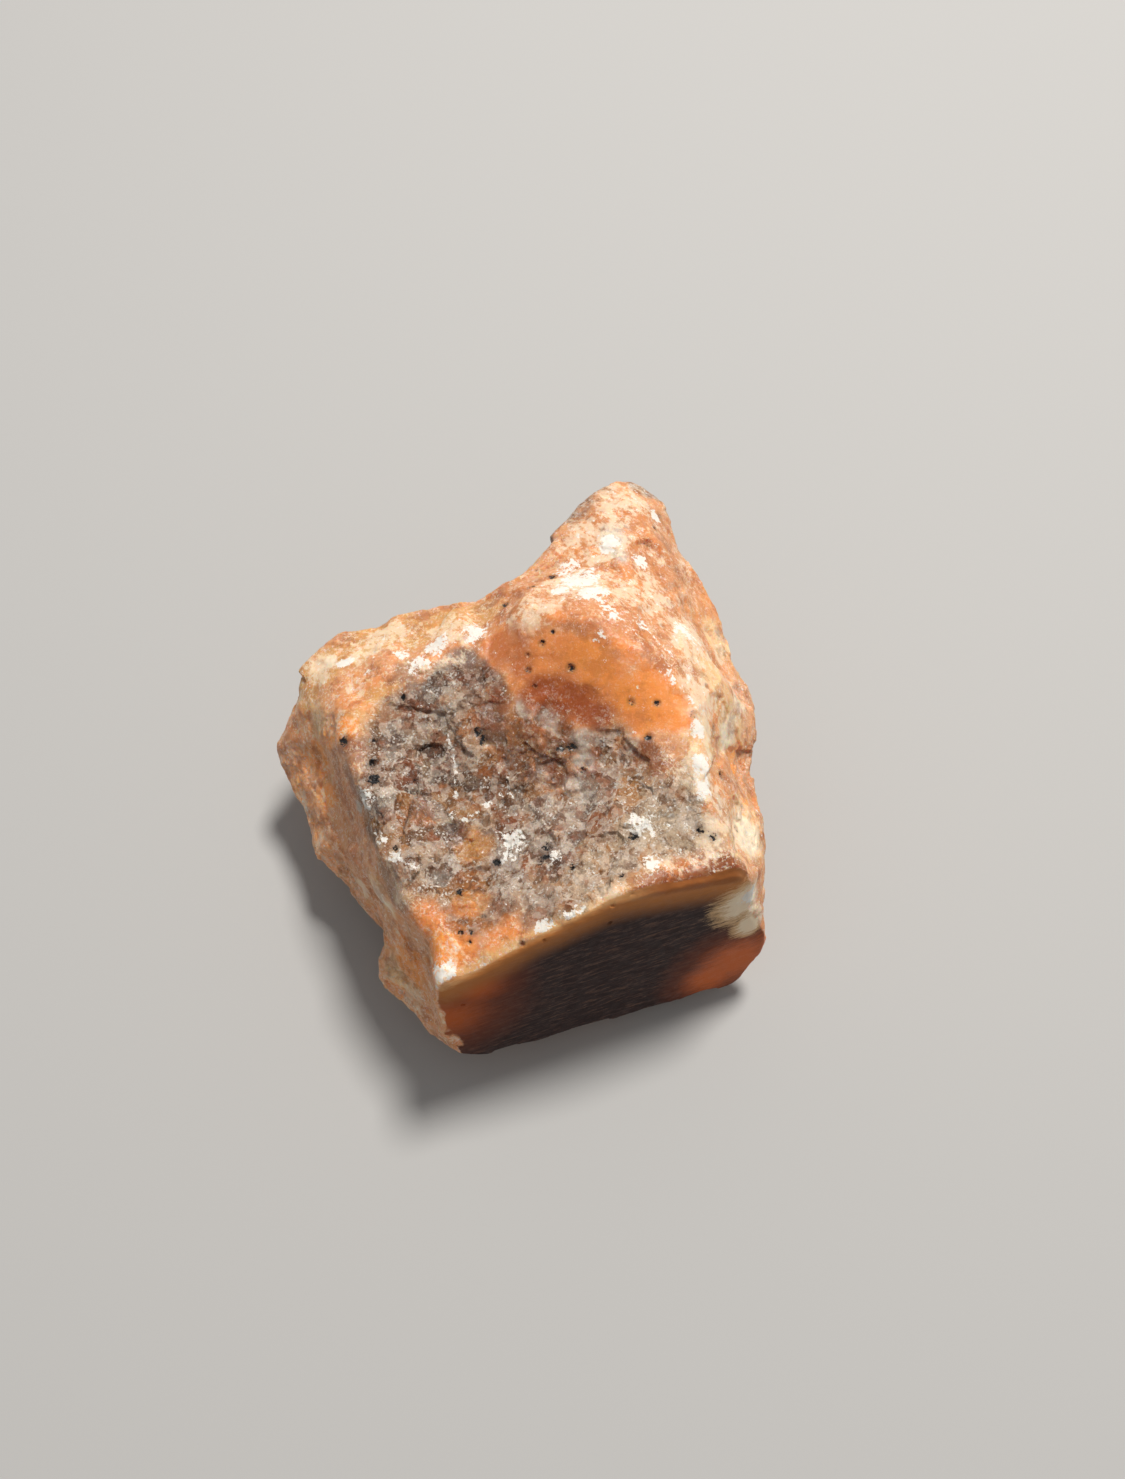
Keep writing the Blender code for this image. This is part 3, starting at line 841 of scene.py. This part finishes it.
# Cleavage steps and sugary grains stand up from the surface, and a few cleavage faces shine
cleavage_cell = grit(CLEAVAGE, "Color")
cleavage_height = where.less(grit(CLEAVAGE, "Position")).dot(cleavage_cell.less(MIDDLE))
sugar_height = where.less(grit(SUGAR, "Position")).dot(sugar_grain.less(MIDDLE))
relief = (cleavage_height * 0.4 + sugar_height * 0.7) * (grainy * 0.6 + 0.35) * (1 - waxy * 0.7)
relief = relief + haze(0.6 * MM, 6.0, 0.7) * WEATHERED_RELIEF
relief = relief * (1 - sawn_face) + saw_streaks * sawn_face * SAW_STREAK_RELIEF
bump = Layer.made("ShaderNodeBump", Height=relief, Distance=1.0, Strength=1.0)
glassy = cleavage_cell.dot(FIRST_ONLY).above(0.5, 0.55) * (grainy * 0.7 + 0.3)
roughness = (0.52 + crusted * 0.2) - glassy * 0.32 - waxy * 0.12

# Translucent where it is waxy, powdery where it is crusted, sugary or sawn
translucent = Layer.made(
    "ShaderNodeBsdfPrincipled", Base_Color=final_colour, Roughness=roughness, Normal=bump,
    IOR=1.5, Specular_IOR_Level=0.5,
    Subsurface_Weight=0.8, Subsurface_Radius=(1.0, 0.4, 0.15), Subsurface_Scale=2.0 * MM)
powdery = Layer.made(
    "ShaderNodeBsdfPrincipled", Base_Color=final_colour, Roughness=roughness + 0.15, Normal=bump,
    IOR=1.45, Specular_IOR_Level=0.12,
    Subsurface_Weight=0.2, Subsurface_Radius=(1.0, 0.6, 0.4), Subsurface_Scale=0.5 * MM)
dryness = (crusted + white_sugar_and_glints * 0.5 + veil * 0.4 + grainy * 0.45 + 0.2) * (1 - waxy * 0.8) + sawn_face * 0.7
finish = Layer.made("ShaderNodeMixShader", n0=dryness.above(0, 1), n1=translucent, n2=powdery)
Layer.made("ShaderNodeOutputMaterial", Surface=finish)
stone.data.materials.clear()
stone.data.materials.append(calcite)
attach(stone, "root")
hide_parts("calcite_stone")

# Floor
# A plain pale table top, painted matt, with nothing on it but the stone's shadow. It is made as one flat
# sheet at the level that the stone rests on, and isn't part of the stone.
FLOOR_REACH = 3.0
FLOOR_GREY = (0.42, 0.42, 0.42, 1)
FLOOR_ROUGHNESS = 0.8
floor_body = bmesh.new()
bmesh.ops.create_grid(floor_body, x_segments=1, y_segments=1, size=FLOOR_REACH)
floor_mesh = bpy.data.meshes.new("pale_floor")
floor_body.to_mesh(floor_mesh)
floor_body.free()
floor = bpy.data.objects.new("pale_floor", floor_mesh)
bpy.context.scene.collection.objects.link(floor)
floor_paint = bpy.data.materials.new("pale_floor")
floor_paint.use_nodes = True
floor_shader = floor_paint.node_tree.nodes["Principled BSDF"]
floor_shader.inputs["Base Color"].default_value = FLOOR_GREY
floor_shader.inputs["Roughness"].default_value = FLOOR_ROUGHNESS
floor_mesh.materials.append(floor_paint)

# Light
# One soft round lamp stands high behind the stone on the right, where the sun was, and its warm light makes
# the main shadow. A pale room all round fills the shade.
LAMP_HEIGHT_ANGLE = radians(64)
LAMP_TURN = radians(28)
LAMP_DISTANCE = 0.7
LAMP_WIDTH = 0.16
LAMP_POWER = 6.0
LAMP_COLOUR = (1.0, 0.96, 0.9)
ROOM_COLOUR = (1.0, 0.98, 0.96, 1)
ROOM_STRENGTH = 0.32
lamp_way = Vector((sin(LAMP_TURN) * cos(LAMP_HEIGHT_ANGLE), cos(LAMP_TURN) * cos(LAMP_HEIGHT_ANGLE),
                   sin(LAMP_HEIGHT_ANGLE)))
lamp_data = bpy.data.lights.new("soft_lamp", "AREA")
lamp_data.shape = "DISK"
lamp_data.size = LAMP_WIDTH
lamp_data.energy = LAMP_POWER
lamp_data.color = LAMP_COLOUR
lamp = bpy.data.objects.new("soft_lamp", lamp_data)
lamp.location = AIM + lamp_way * LAMP_DISTANCE
lamp.rotation_euler = (-lamp_way).to_track_quat("-Z", "Y").to_euler()
bpy.context.scene.collection.objects.link(lamp)

room = bpy.data.worlds.new("pale_room")
room.use_nodes = True
room_shader = room.node_tree.nodes["Background"]
room_shader.inputs["Color"].default_value = ROOM_COLOUR
room_shader.inputs["Strength"].default_value = ROOM_STRENGTH
bpy.context.scene.world = room
bpy.context.scene.view_settings.view_transform = "Standard"
